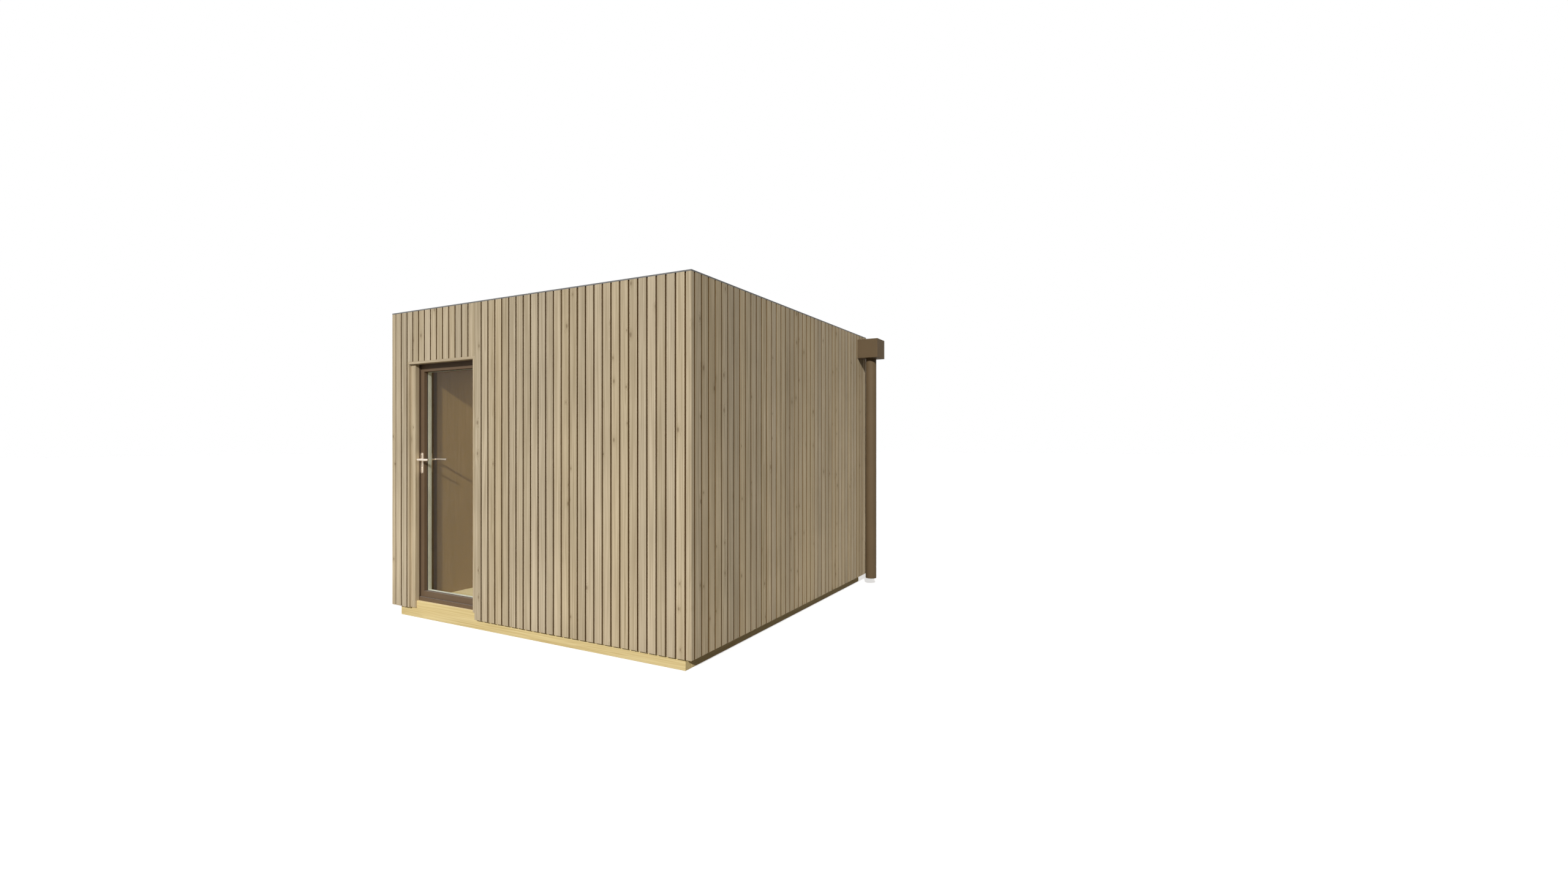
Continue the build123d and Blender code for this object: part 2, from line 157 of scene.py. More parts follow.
def soften(piece, radius, segments=2):
    """Round the edges of a piece in its mesh."""
    add_arris(piece, radius, segments)
    only(piece)
    bpy.ops.object.modifier_apply(modifier="Arris")
    return piece


def smooth(piece):
    """Shade a turned or bent piece smoothly, apart from its sharp edges."""
    only(piece)
    bpy.ops.object.shade_smooth_by_angle(angle=SHARP)
    return piece


def copy_to(master, place, name):
    """Copy a piece with a mesh of its own, set at a place."""
    twin = master.copy()
    twin.data = master.data.copy()
    twin.data.transform(place)
    twin.name = name
    bpy.context.collection.objects.link(twin)
    return twin


def join(pieces, name):
    """Join several pieces to one."""
    nothing_selected()
    for piece in pieces:
        piece.select_set(True)
    bpy.context.view_layer.objects.active = pieces[0]
    if len(pieces) > 1:
        bpy.ops.object.join()
    pieces[0].name = pieces[0].data.name = name
    return pieces[0]


def bin_piece(piece):
    """Delete a master piece once its copies are made."""
    bpy.data.objects.remove(piece, do_unlink=True)


# %% [markdown]
# ## Settling a piece
#
# Each finished piece takes a material, rides on the body that carries it, and may stand for CAD
# solids, which are then hidden. A solid whose own shape is right only takes a better material. Its
# triangles are loose, so they are welded before its edges are rounded.

# %% Settling pieces and dressing solids
WELD_REACH = 0.02 * MM


def settle(piece, finish, body="building", nodes=()):
    """Give a piece its material, its body and the solids that it stands for."""
    piece.data.materials.clear()
    piece.data.materials.append(finish)
    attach(piece, body)
    if nodes:
        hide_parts(*nodes)
    print(piece.name, "has", len(piece.data.polygons), "faces and rides on", body)


def dress(finish, *nodes, edge=0.0):
    """Give CAD solids a material and, where an edge radius is stated, rounded edges."""
    for name in nodes:
        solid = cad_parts[name]
        for place in solid.material_slots:
            place.material = finish
        if edge:
            solid.modifiers.new("Weld", "WELD").merge_threshold = WELD_REACH
            add_arris(solid, edge)
    print(finish.name, "covers", *nodes)


# %% [markdown]
# ## Camera
#
# The photograph was taken at eye height, level, from beyond the front right corner with a wide
# lens. Its two rows of vanishing points give the direction and the focal length, so the camera
# can stand where the photographer did.

# %% Camera
EYE = Vector((4.032, -4.983, 1.49))
AHEAD = Vector((-0.4653, 0.8852, 0.0))
FOCAL_LENGTH = 15.0
SENSOR_WIDTH = 36.0

lens = bpy.data.cameras.new("eye_height_camera")
lens.lens = FOCAL_LENGTH
lens.sensor_width = SENSOR_WIDTH
lens.clip_end = 300
camera = bpy.data.objects.new("eye_height_camera", lens)
bpy.context.collection.objects.link(camera)
camera.location = EYE
camera.rotation_euler = AHEAD.to_track_quat("-Z", "Y").to_euler()
bpy.context.scene.camera = camera
print("camera", EYE[:])

# %% [markdown]
# ## Adding nodes
#
# Every finish is a small network of nodes. One helper adds a node, sets its properties and either
# links or fills its sockets, so a network reads as a list of steps. Colours are written as sRGB
# hex values, as a paint chart gives them, and turned to linear light by one function.

# %% Nodes and colours
def add_node(tree, kind, sockets=None, **properties):
    """Add a shader node, such as "Math ADD", set it up, and link or fill its sockets."""
    kind, _, operation = kind.partition(" ")
    made = tree.nodes.new("ShaderNode" + kind)
    if operation:
        made.operation = operation
    for name, value in properties.items():
        setattr(made, name, value)
    for socket, source in (sockets or {}).items():
        if isinstance(source, bpy.types.Node):
            source = source.outputs[0]
        if isinstance(source, bpy.types.NodeSocket):
            tree.links.new(source, made.inputs[socket])
        else:
            made.inputs[socket].default_value = source
    return made


def linear(colour):
    """Turn an sRGB hex colour to linear red, green, blue and a full alpha."""
    values = [int(colour[place:place + 2], 16) / 255 for place in (1, 3, 5)]
    return tuple(value / 12.92 if value <= 0.04045 else ((value + 0.055) / 1.055) ** 2.4
                 for value in values) + (1.0,)


def fill_ramp(node, stops):
    """Give a colour ramp its stops, from the lowest place to the highest, each with a colour."""
    elements = node.color_ramp.elements
    while len(elements) < len(stops):
        elements.new(1.0)
    for element, (place, colour) in zip(elements, stops):
        element.position = place
        element.color = colour


# %% [markdown]
# Every finish ends alike, with a colour, a roughness that a pattern moves between two values, and a
# height. Fibres, brush marks and printed grain are all noise that is stretched along one axis.

# %% Starting and ending a finish
def new_finish(name, **sockets):
    """Start a material, and return it with its tree, its shader and the place on the object."""
    finish = bpy.data.materials.new(name)
    finish.use_nodes = True
    print("finish", name)
    tree = finish.node_tree
    shader = tree.nodes["Principled BSDF"]
    for socket, value in sockets.items():
        shader.inputs[socket.replace("_", " ")].default_value = value
    return finish, tree, shader, add_node(tree, "TexCoord").outputs["Object"]


def stretched_noise(tree, place, waves, detail):
    """Noise with so many waves a metre along each axis, long where they are few."""
    stretched = add_node(tree, "VectorMath MULTIPLY", {0: place, 1: waves})
    return add_node(tree, "TexNoise", {"Vector": stretched, "Scale": 1.0, "Detail": detail})


def add_surface(tree, shader, colour, roughened_by, smoothest, roughest):
    """Lead a colour to the shader, and a pattern to its roughness between two values."""
    tree.links.new(colour, shader.inputs["Base Color"])
    rough = add_node(tree, "MapRange", {
        "Value": roughened_by, "To Min": smoothest, "To Max": roughest})
    tree.links.new(rough.outputs[0], shader.inputs["Roughness"])


def add_bump(tree, shader, height, depth, strength):
    """Lead a height pattern to the shader's normal, with its depth in metres."""
    bump = add_node(tree, "Bump", {"Height": height, "Distance": depth, "Strength": strength})
    tree.links.new(bump.outputs[0], shader.inputs["Normal"])


# %% [markdown]
# ## Floor, backdrop and light
#
# The studio stands on a plain pale floor under soft light. Rays from the camera, and those seen in
# metal or through glass, meet a white world and a nearly white floor with a little light of its
# own, so the ground reads white and still keeps the building's shadow. For the light that it
# throws back, the floor is a warm grey. It is dark brown right beside the base, so the timber
# under the boards stays in shade, and it is darker farther out, so the foot of a wall gets more
# light than the top.

# %% Floor and backdrop
FLOOR_SIZE = 160
FLOOR_DROP = 0.5 * MM
FLOOR_LIFT = 0.42
BASE_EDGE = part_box("base_rim_right")[1].x
FLOOR_REACH = 3.5
FLOOR_TONES = ((0.07, "#4A3A20"), (0.42, "#ABA699"), (0.91, "#A8A59C"), (2.2, "#7C7A76"),
               (FLOOR_REACH, "#4C4C4C"))


def shown_directly(tree):
    """1 for camera, glossy and transmission rays, and 0 for the rays that light the object."""
    path = add_node(tree, "LightPath").outputs
    shown = path["Is Camera Ray"]
    for rays in ("Is Glossy Ray", "Is Transmission Ray"):
        shown = add_node(tree, "Math MAXIMUM", {0: shown, 1: path[rays]})
    return shown


def paint_floor(tree):
    """Nearly white where it is seen, and greyer in the light that it throws back."""
    tree.nodes.clear()
    place = add_node(tree, "TexCoord").outputs["Object"]
    either_way = add_node(tree, "VectorMath ABSOLUTE", {0: place})
    axes = add_node(tree, "SeparateXYZ", {0: either_way}).outputs
    distance = add_node(tree, "Math MAXIMUM", {0: axes[0], 1: axes[1]})
    away = add_node(tree, "MapRange", {
        "Value": distance, "From Min": BASE_EDGE, "From Max": BASE_EDGE + FLOOR_REACH})
    thrown_back = add_node(tree, "ValToRGB", {0: away})
    fill_ramp(thrown_back, [(reach / FLOOR_REACH, linear(colour))
                            for reach, colour in FLOOR_TONES])
    seen = shown_directly(tree)
    tone = add_node(tree, "Mix", {"Factor": seen, 6: thrown_back, 7: linear("#E6E6E6")},
                    data_type="RGBA")
    matt = add_node(tree, "BsdfDiffuse", {"Color": tone.outputs[2]})
    lift_amount = add_node(tree, "Math MULTIPLY", {0: seen, 1: FLOOR_LIFT})
    lift = add_node(tree, "Emission", {"Strength": lift_amount})
    both = add_node(tree, "AddShader", {0: matt, 1: lift})
    add_node(tree, "OutputMaterial", {"Surface": both})


nothing_selected()
bpy.ops.mesh.primitive_plane_add(size=FLOOR_SIZE, location=(0, 0, -FLOOR_DROP))
floor = bpy.context.object
floor.name = "pale_floor"
bpy.ops.object.transform_apply(location=True, rotation=False, scale=False)
floor_finish = bpy.data.materials.new("pale_studio_floor")
floor_finish.use_nodes = True
paint_floor(floor_finish.node_tree)
floor.data.materials.append(floor_finish)
print("floor", FLOOR_SIZE, "m wide")

# %% [markdown]
# A soft sun is the key lamp, from the front and the right, as the shadow under the hopper shows. A
# second one without shadows fills the unseen sides. A closed room would be black inside, so one
# wide lamp hangs under its ceiling.

# %% World and lamps
SKY_LIGHT = 0.14
ROOM_LAMP_DROP = 60 * MM

world = bpy.data.worlds.new("white_studio")
bpy.context.scene.world = world
world.use_nodes = True
tree = world.node_tree
tree.nodes.clear()
sky = add_node(tree, "Background", {"Color": linear("#FFF8EE"), "Strength": SKY_LIGHT})
white = add_node(tree, "Background", {"Color": linear("#FFFFFF"), "Strength": 1.0})
mixed = add_node(tree, "MixShader", {0: shown_directly(tree), 1: sky, 2: white})
add_node(tree, "OutputWorld", {"Surface": mixed})


def add_lamp(name, kind, heading, **settings):
    """Add a lamp that shines along a heading. A wider angle of a sun makes softer shadows."""
    light = bpy.data.lights.new(name, kind)
    for setting, value in settings.items():
        setattr(light, setting, value)
    lamp = bpy.data.objects.new(name, light)
    lamp.rotation_euler = Vector(heading).to_track_quat("-Z", "Y").to_euler()
    bpy.context.collection.objects.link(lamp)
    return lamp


add_lamp("key_lamp", "SUN", (-0.44, 1.0, -0.57), energy=3.12, angle=math.radians(3))
add_lamp("fill_lamp", "SUN", (0.9, -0.95, -0.65), energy=1.6, angle=math.radians(30),
         use_shadow=False)
room_lamp = add_lamp("room_lamp", "AREA", (0, 0, -1), energy=22, size=2.0)
room_lamp.location = (0, 0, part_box("roof_deck")[0].z - ROOM_LAMP_DROP)
room_lamp.visible_camera = room_lamp.visible_glossy = False

bpy.context.scene.view_settings.view_transform = "Standard"
print("room lamp at", round(room_lamp.location.z, 3), "m")

# %% [markdown]
# ## Wood
#
# The boards are planed softwood, and its figure is the growth rings of the log, cut by the saw. An
# image of wood would slide over the pieces, so each corner of a timber carries its own place in
# the log it was sawn from, in metres, with the grain along Z. Rings are then bands of equal
# distance from the pith, bent a little by noise that is long along the grain. A board sawn near
# the pith shows arches, and one sawn far from it shows straight lines, as in a real stack.

# %% Write a timber's place in its log
draw = random.Random(41)
AXES = {"X": (1, 2, 0), "Y": (0, 2, 1), "Z": (0, 1, 2)}
PITH_ASIDE = 0.09
PITH_BEHIND = (0.025, 0.10)
PLACE_IN_LOG = 30


def store(mesh, name, values, kind="FLOAT"):
    """Store a value or a vector for each corner of a mesh, for its finish to read."""
    layer = mesh.attributes.new(name, kind, "POINT")
    layer.data.foreach_set("vector" if kind == "FLOAT_VECTOR" else "value", values)


def lay_grain(piece, along):
    """Write each corner's place in the log, and the timber's own tone, to the mesh."""
    places = np.empty(len(piece.data.vertices) * 3)
    piece.data.vertices.foreach_get("co", places)
    places = places.reshape(-1, 3)[:, AXES[along]]
    places = places - (places.min(axis=0) + places.max(axis=0)) / 2
    pith = [draw.uniform(-PITH_ASIDE, PITH_ASIDE), draw.uniform(*PITH_BEHIND),
            draw.uniform(-PLACE_IN_LOG, PLACE_IN_LOG)]
    store(piece.data, "grain", (places + pith).ravel(), "FLOAT_VECTOR")
    store(piece.data, "tone", np.full(len(places), draw.random()))


# %% [markdown]
# ## Knots
#
# A knot is a branch that the saw cut through. Knots are cells of a Voronoi pattern, farther apart
# along the grain than across it, and a share of them is kept that differs from board to board,
# since one log has more knots than another. Each has a dark core and a wide faint halo.

# %% Knots
KNOT_SPACING_ACROSS = 110 * MM
KNOT_SPACING_UP = 210 * MM
KNOT_RADIUS = 7 * MM
# Start and end of the fade in radii, strength in the middle, and the fade's curve
KNOT_CORE = (0.5, 1.5, 0.55, "SMOOTHSTEP")
KNOT_HALO = (0.0, 5.0, 1.0, "SMOOTHERSTEP")


def add_knots(tree, grain, tone, knots_kept):
    """The cores and the halos of a board's knots. The square of its luck averages a third."""
    axes = add_node(tree, "SeparateXYZ", {0: grain}).outputs
    across = add_node(tree, "Math MULTIPLY", {0: axes[0], 1: 1 / KNOT_SPACING_ACROSS})
    upward = add_node(tree, "Math MULTIPLY", {0: axes[2], 1: 1 / KNOT_SPACING_UP})
    cells = add_node(tree, "CombineXYZ", {0: across, 1: upward})
    cell = add_node(tree, "TexVoronoi", {"Vector": cells, "Scale": 1.0}, voronoi_dimensions="2D")
    chance = add_node(tree, "SeparateColor", {0: cell.outputs["Color"]}).outputs
    luck = add_node(tree, "Math MULTIPLY", {0: tone, 1: 3.7})
    luck = add_node(tree, "Math FRACT", {0: luck})
    luck = add_node(tree, "Math POWER", {0: luck, 1: 2.0})
    share = add_node(tree, "Math MULTIPLY", {0: luck, 1: 3 * knots_kept})
    kept = add_node(tree, "Math LESS_THAN", {0: chance[0], 1: share})
    size = add_node(tree, "MapRange", {"Value": chance[1], "To Min": 0.5, "To Max": 1.25})
    reach = add_node(tree, "Math DIVIDE", {0: cell.outputs["Distance"], 1: size})
    radius = KNOT_RADIUS / KNOT_SPACING_ACROSS
    parts = []
    for start, end, strength, fade in (KNOT_CORE, KNOT_HALO):
        part = add_node(tree, "MapRange", {
            "Value": reach, "From Min": start * radius, "From Max": end * radius,
            "To Min": strength, "To Max": 0.0}, interpolation_type=fade)
        parts.append(add_node(tree, "Math MULTIPLY", {0: part, 1: kept}))
    return parts


# %% [markdown]
# ## Rings and fibres
#
# Rings in slow-grown spruce are 1 to 2 mm apart, too fine to show from four metres, so they are
# drawn 5 mm apart. They swell round a knot, because its halo is added to the distance from the
# pith. Fibres and wider streaks are noise, about 2 and 9 mm wide and far longer along the grain.

# %% Rings and fibres
RING_SPACING = 5 * MM
KNOT_SWELL = 10 * MM
RING_SWAY = 35 * MM
SWAY_WAVES = (9, 9, 0.9)
FIBRE_WAVES = (420, 420, 7)
STREAK_WAVES = (110, 110, 1.5)
RING_STOPS = ((0.30, (0, 0, 0, 1)), (0.88, (1, 1, 1, 1)), (1.0, (0.1, 0.1, 0.1, 1)))


def add_rings(tree, grain, halo):
    """Late wood from 0 to 1, in rings about the pith that sway and swell round the knots."""
    sway = stretched_noise(tree, grain, SWAY_WAVES, 2.0).outputs["Color"]
    sway = add_node(tree, "VectorMath SUBTRACT", {0: sway, 1: (0.5, 0.5, 0.5)})
    sway = add_node(tree, "VectorMath SCALE", {0: sway, "Scale": RING_SWAY})
    bent = add_node(tree, "VectorMath ADD", {0: grain, 1: sway})
    flat = add_node(tree, "VectorMath MULTIPLY", {0: bent, 1: (1, 1, 0)})
    from_pith = add_node(tree, "VectorMath LENGTH", {0: flat}).outputs["Value"]
    swollen = add_node(tree, "Math MULTIPLY_ADD", {0: halo, 1: KNOT_SWELL, 2: from_pith})
    count = add_node(tree, "Math MULTIPLY", {0: swollen, 1: 1 / RING_SPACING})
    late = add_node(tree, "ValToRGB", {0: add_node(tree, "Math FRACT", {0: count})})
    fill_ramp(late, RING_STOPS)
    return late


# %% [markdown]
# ## Tone and weather
#
# Every board has its own tone and warmth, and slow weathering runs over the whole wall.

# %% Tone of a board and its wall
def tone_board(tree, place, colour, tone, spread):
    """Shade a wood's colour by the board's own tone and warmth and by the weather."""
    weather = add_node(tree, "TexNoise", {"Vector": place, "Scale": 2.2, "Detail": 3.0})
    mixed = add_node(tree, "Math MULTIPLY_ADD", {0: weather, 1: 1.5, 2: tone})
    value = add_node(tree, "MapRange", {
        "Value": mixed, "From Min": 0.35, "From Max": 2.15,
        "To Min": 1 - 1.6 * spread, "To Max": 1 + 1.6 * spread})
    warmth = add_node(tree, "Math MULTIPLY", {0: tone, 1: 7.3})
    warmth = add_node(tree, "Math FRACT", {0: warmth})
    warmth = add_node(tree, "MapRange", {"Value": warmth, "To Min": 0.93, "To Max": 1.06})
    toned = add_node(tree, "HueSaturation", {"Saturation": warmth, "Value": value, "Color": colour})
    return toned.outputs[0]


# %% [markdown]
# ## The wood's finish
#
# The patterns are added by weight, and their sum says how far the colour goes from pale wood to
# dark. Knots, and painted shade on the sides of boards in the gaps, are laid over it.

# %% Wood finishes
# Painted shade: the sides of the boards in the gaps are painted this darker brown.
PAINTED_GAP_SHADE_COLOUR = "#6B5638"


def wood(name, pale, dark, knot, contrast, tone_spread, knots_kept, roughness):
    """A planed softwood of three colours, from early wood and late wood to knots."""
    finish, tree, shader, place = new_finish(name, Specular_IOR_Level=0.2)
    grain = add_node(tree, "Attribute", attribute_name="grain").outputs["Vector"]
    tone = add_node(tree, "Attribute", attribute_name="tone").outputs["Fac"]
    painted_gap_shade = add_node(tree, "Attribute", attribute_name="painted_gap_shade").outputs["Fac"]
    core, halo = add_knots(tree, grain, tone, knots_kept)
    late = add_rings(tree, grain, halo)
    streak = stretched_noise(tree, grain, STREAK_WAVES, 3.0)
    streak = add_node(tree, "MapRange", {"Value": streak, "From Min": 0.36, "From Max": 0.64})
    fibre = stretched_noise(tree, grain, FIBRE_WAVES, 3.0)

    figure = 0.0
    for pattern, weight in ((late, 0.28 * contrast), (streak, 0.65 * contrast),
                            (fibre, 0.20 * contrast), (halo, 0.30)):
        figure = add_node(tree, "Math MULTIPLY_ADD", {0: pattern, 1: weight, 2: figure})
    figure.use_clamp = True
    colour = linear(pale)
    for amount, tint in ((figure, dark), (core, knot), (painted_gap_shade, PAINTED_GAP_SHADE_COLOUR)):
        colour = add_node(tree, "Mix", {"Factor": amount, 6: colour, 7: linear(tint)},
                          data_type="RGBA").outputs[2]
    toned = tone_board(tree, place, colour, tone, tone_spread)
    add_surface(tree, shader, toned, fibre, roughness - 0.08, roughness + 0.08)
    relief = add_node(tree, "Math MULTIPLY_ADD", {0: late, 1: 0.5, 2: fibre})
    add_bump(tree, shader, relief, 0.25 * MM, 0.6)
    return finish


# Thermally treated pine cladding, planed and lightly weathered: pale grey-brown and matt
cladding_wood = wood("weathered_pine_boards", "#D0C0A3", "#AA997C", "#6E5A44", contrast=1.0,
                     tone_spread=0.1, knots_kept=0.24, roughness=0.8)
# Pressure-treated spruce for the floor frame: yellow, fresh and even
frame_wood = wood("treated_spruce_timber", "#E8D5A0", "#C9B075", "#8F7142", contrast=0.8,
                  tone_spread=0.05, knots_kept=0.2, roughness=0.66)
# Oiled spruce floor boards: yellow, and smoother than the frame
floor_wood = wood("spruce_floor_boards", "#D1C071", "#BCA353", "#927438", contrast=0.8,
                  tone_spread=0.05, knots_kept=0.2, roughness=0.55)

# %% [markdown]
# ## Coatings, metal, rubber and glass
#
# The door is coated aluminium over timber, so its surface is even, with the faint orange peel that
# powder leaves as it melts. The rainwater goods and the roof's edge are folded coated sheet, which
# is smoother. Both take a noise of about 1 mm for the peel and a slow one for handling marks.

# %% Coated metal
def coated(name, colour, roughness, peel):
    """A powder-coated or coil-coated metal, with peel in millimetres."""
    finish, tree, shader, place = new_finish(name, Specular_IOR_Level=0.22)
    grain = add_node(tree, "TexNoise", {"Vector": place, "Scale": 1 / (peel * MM), "Detail": 2.0})
    cloud = add_node(tree, "TexNoise", {"Vector": place, "Scale": 6.0, "Detail": 4.0})
    shade = add_node(tree, "MapRange", {
        "Value": cloud, "From Min": 0.3, "From Max": 0.7, "To Min": 0.95, "To Max": 1.05})
    toned = add_node(tree, "HueSaturation", {"Value": shade, "Color": linear(colour)})
    add_surface(tree, shader, toned.outputs[0], cloud, roughness - 0.06, roughness + 0.08)
    add_bump(tree, shader, grain, 0.04 * MM, 0.5)
    return finish


door_coating = coated("brown_powder_coated_door", "#695642", 0.58, 1.4)
bead_coating = coated("pale_grey_green_coated_bead", "#D8D9C4", 0.5, 1.2)
rain_coating = coated("brown_coil_coated_steel", "#64533C", 0.68, 1.0)
edge_coating = coated("grey_coil_coated_steel", "#7B7B7B", 0.5, 1.0)

# %% [markdown]
# Stainless steel that was brushed along its length has a soft streaked gloss. The streaks are a
# noise that is 60 times longer along one axis, and they change the roughness and the height.

# %% Satin steel
ALONG_BRUSH = 40
ACROSS_BRUSH = 2400


def brushed_steel(name, waves):
    """Satin stainless steel, brushed along the axis with the fewest waves."""
    finish, tree, shader, place = new_finish(name, Metallic=1.0)
    scratch = stretched_noise(tree, place, waves, 3.0)
    tint = add_node(tree, "Mix", {"Factor": scratch.outputs[0], 6: linear("#F4E9DA"),
                                  7: linear("#E2D6C6")}, data_type="RGBA")
    add_surface(tree, shader, tint.outputs[2], scratch, 0.42, 0.56)
    add_bump(tree, shader, scratch, 0.02 * MM, 0.3)
    return finish


lever_steel = brushed_steel("satin_stainless_lever", (ALONG_BRUSH, ACROSS_BRUSH, ACROSS_BRUSH))
plate_steel = brushed_steel("satin_stainless_plate", (ACROSS_BRUSH, ACROSS_BRUSH, ALONG_BRUSH))

# %% [markdown]
# The sealed unit's panes are float glass with a thin heat-reflecting layer. Full refraction would
# stop lamp light at the pane, so the panes are mostly open by alpha, and the closed part is a
# dark, very glossy surface that carries the reflection of the pale surroundings.

# %% Glass
glass, tree, shader, place = new_finish(
    "heat_reflecting_float_glass", Roughness=0.03, IOR=1.8, Specular_IOR_Level=1.0, Alpha=0.07,
    Base_Color=linear("#26302B"))
wave = add_node(tree, "TexNoise", {"Vector": place, "Scale": 2.2, "Detail": 1.0})
add_bump(tree, shader, wave, 0.5 * MM, 0.15)
glass.blend_method = "BLEND"

# %% [markdown]
# Seals, spacer and roofing are moulded rubber and plastic, with a fine matt grain and soft clouds
# of dust. Felt is rougher, with a coarser grain.

# %% Rubber, plastic and felt
def moulded(name, colour, roughness, grit):
    """A moulded rubber or plastic with a fine matt grain, its size in millimetres."""
    finish, tree, shader, place = new_finish(name)
    grain = add_node(tree, "TexNoise", {"Vector": place, "Scale": 1 / (grit * MM), "Detail": 3.0})
    dust = add_node(tree, "TexNoise", {"Vector": place, "Scale": 5.0, "Detail": 5.0})
    shade = add_node(tree, "MapRange", {
        "Value": dust, "From Min": 0.35, "From Max": 0.7, "To Min": 0.9, "To Max": 1.18})
    toned = add_node(tree, "HueSaturation", {"Value": shade, "Color": linear(colour)})
    add_surface(tree, shader, toned.outputs[0], grain, roughness - 0.07, roughness + 0.07)
    add_bump(tree, shader, grain, 0.06 * MM, 0.6)
    return finish


spacer_plastic = moulded("pale_grey_green_edge_spacer", "#D8D9C4", 0.6, 0.8)
rubber_and_hole_shade = moulded("black_rubber_seal_and_painted_hole_shade", "#2B2825", 0.68, 0.8)
roof_rubber = moulded("black_rubber_roofing", "#3A3A3B", 0.74, 2.5)
cavity_mesh = moulded("dark_cavity_strip", "#4A3C28", 0.85, 2.0)
# A real felt strip closes each gap, and its dark brown is painted shade that stands for the shade
# in the gaps.
gap_shade_felt = moulded("dark_felt_strip_painted_gap_shade", "#604C31", 0.9, 1.5)

# %% [markdown]
# The room is lined with brown faced board. It is nearly plain, with a faint upright figure from
# the printed facing, so the noise is thirty times longer upright and moves the colour only a
# little way between two browns.

# %% Faced lining board
FACING_WAVES = (90, 90, 3)

lining_board, tree, shader, place = new_finish("brown_faced_lining_board")
figure = stretched_noise(tree, place, FACING_WAVES, 4.0)
toned = add_node(tree, "Mix", {"Factor": figure.outputs[0], 6: linear("#A0834A"),
                               7: linear("#886D37")}, data_type="RGBA")
add_surface(tree, shader, toned.outputs[2], figure, 0.5, 0.66)
add_bump(tree, shader, figure, 0.1 * MM, 0.4)

# %% [markdown]
# ## Floor frame
#
# The studio stands on four planed timbers with joists between them. Each is one block with a
# rounded arris of 3 mm, and its grain runs along its length, so the ends show rings.

# %% Rims and joists
PLANED_ARRIS = 1.5 * MM
RIM_ARRIS = 3 * MM
EASED_ARRIS = 2 * MM


def timber(name, low, high, along, arris=PLANED_ARRIS):
    """One planed timber between two corners, with its grain along an axis."""
    piece = soften(block(name, low, high), arris)
    lay_grain(piece, along)
    return piece


for side, along in (("front", "X"), ("rear", "X"), ("left", "Y"), ("right", "Y")):
    node = "base_rim_" + side
    settle(timber("rim_timber_" + side, *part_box(node), along, RIM_ARRIS), frame_wood,
           nodes=(node,))

JOISTS = 7
JOIST_THICKNESS = 45 * MM
low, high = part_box("floor_joists")
pitch = (high.x - low.x - JOIST_THICKNESS) / (JOISTS - 1)
joists = [timber("joist", (low.x + pitch * i, low.y, low.z),
                 (low.x + pitch * i + JOIST_THICKNESS, high.y, high.z), "Y", EASED_ARRIS)
          for i in range(JOISTS)]
settle(join(joists, "floor_joist_timbers"), frame_wood, nodes=("floor_joists",))

# %% [markdown]
# The floor is laid with spruce boards across the joists. Their upper edges are eased, so a fine
# V shows at each joint.

# %% Floor boards
FLOOR_BOARDS = 21
BOARD_JOINT = 0.2 * MM
low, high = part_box("floor_deck")
pitch = (high.y - low.y) / FLOOR_BOARDS
boards = [timber("floor_board", (low.x, low.y + pitch * i + BOARD_JOINT, low.z),
                 (high.x, low.y + pitch * (i + 1) - BOARD_JOINT, high.z), "X", EASED_ARRIS)
          for i in range(FLOOR_BOARDS)]
settle(join(boards, "floor_boards"), floor_wood, nodes=("floor_deck",))
print("floor boards", FLOOR_BOARDS, "width", round(pitch, 4))

# %% [markdown]
# ## Upright boards
#
# The cladding is narrow boards with a gap of 12 mm between their faces. The gap is not open: a
# strip of felt closes it behind the faces, and its dark brown is painted shade, so the gap reads as
# a dark line. One board is modelled for each size, then copied along the wall. It starts as a
# block, and its front arrises are rounded, the long ones more than the ends. The sides of the
# boards
# carry painted shade: each corner also stores how deep it lies in the gap, and the wood is painted
# browner there.

# %% Model a board
GAP = 12 * MM
BOARD_DEPTH = 20 * MM
FACE_DEPTH = 11 * MM
ARRIS = 1.8 * MM
END_ARRIS = 0.8 * MM
GAP_SHADE_RAMP = 0.4 * ARRIS
ON_FACE = 0.1 * MM


def model_board(width, height):
    """A board with its face at y 0 and its left edge at x 0."""
    board = block("board", (0, 0, 0), (width, BOARD_DEPTH, height))
    with editing(board, "EDGE", lambda middle, along: abs(along.z) > 0.9 and middle.y < ON_FACE):
        bpy.ops.mesh.bevel(offset=ARRIS, segments=3, affect="EDGES")
    with editing(board, "EDGE", lambda middle, along: abs(along.x) > 0.9 and middle.y < ON_FACE):
        bpy.ops.mesh.bevel(offset=END_ARRIS, segments=1, affect="EDGES")
    return board


def paint_shade_on_sides(board):
    """Write the painted shade of a board's corners: 0 on its face and 1 in the gap."""
    store(board.data, "painted_gap_shade",
          [min(corner.co.y / GAP_SHADE_RAMP, 1.0) for corner in board.data.vertices])


# %% [markdown]
# A wall is a row of boards from post to post. A matrix turns the row's own directions, along the
# wall and into it, to the building's, so one function serves all four walls.

# %% Lay a wall of boards
BOARDS = 39
rear_low, rear_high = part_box("cladding_rear")
bottom, top, post_x = rear_low.z, rear_high.z, rear_low.x
masters = {}


def wall_place(start, along):
    """The matrix from a row of boards to its wall: X along the wall, Y into it, Z up."""
    along = Vector(along)
    into = Vector((-along.y, along.x, 0))
    turn = Matrix((along, into, (0, 0, 1))).transposed().to_4x4()
    return Matrix.Translation(start) @ turn


def even_row(length):
    """The spans of boards between two posts, with a gap at each end."""
    pitch = (length - GAP) / BOARDS
    return [(GAP + pitch * i, pitch * (i + 1), bottom, top) for i in range(BOARDS)]


